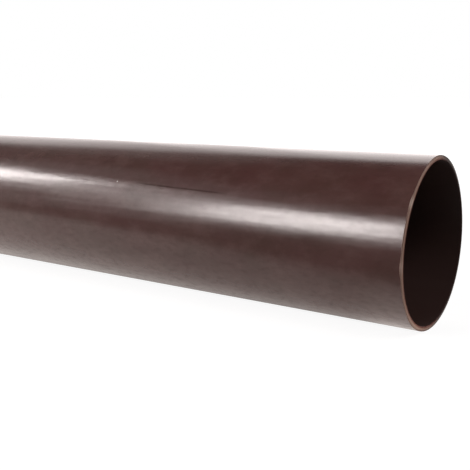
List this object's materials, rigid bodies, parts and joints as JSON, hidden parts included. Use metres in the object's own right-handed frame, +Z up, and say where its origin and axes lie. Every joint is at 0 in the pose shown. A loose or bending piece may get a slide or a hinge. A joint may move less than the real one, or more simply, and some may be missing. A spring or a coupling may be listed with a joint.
{
  "type": "pvc downpipe",
  "caption": "Straight round brown PVC rainwater downpipe: thin-walled extruded tube, open bore, plain sawn ends with a filed chamfer, lying on its side.",
  "frame": {"origin": "middle of the pipe's length, on the surface that it lies on, straight below its axis", "axes": "+X along the pipe towards the end that faces the camera, +Y away from the viewer, +Z up"},
  "size_m": [2, 0.0678, 0.068],
  "materials": {
    "brown_pvc": "semi-gloss extruded PVC, dark chocolate brown, with faint die lines along the pipe and a paler sawn rim"
  },
  "bodies": {
    "root": {"downpipe": "brown_pvc"}
  },
  "joints": []
}
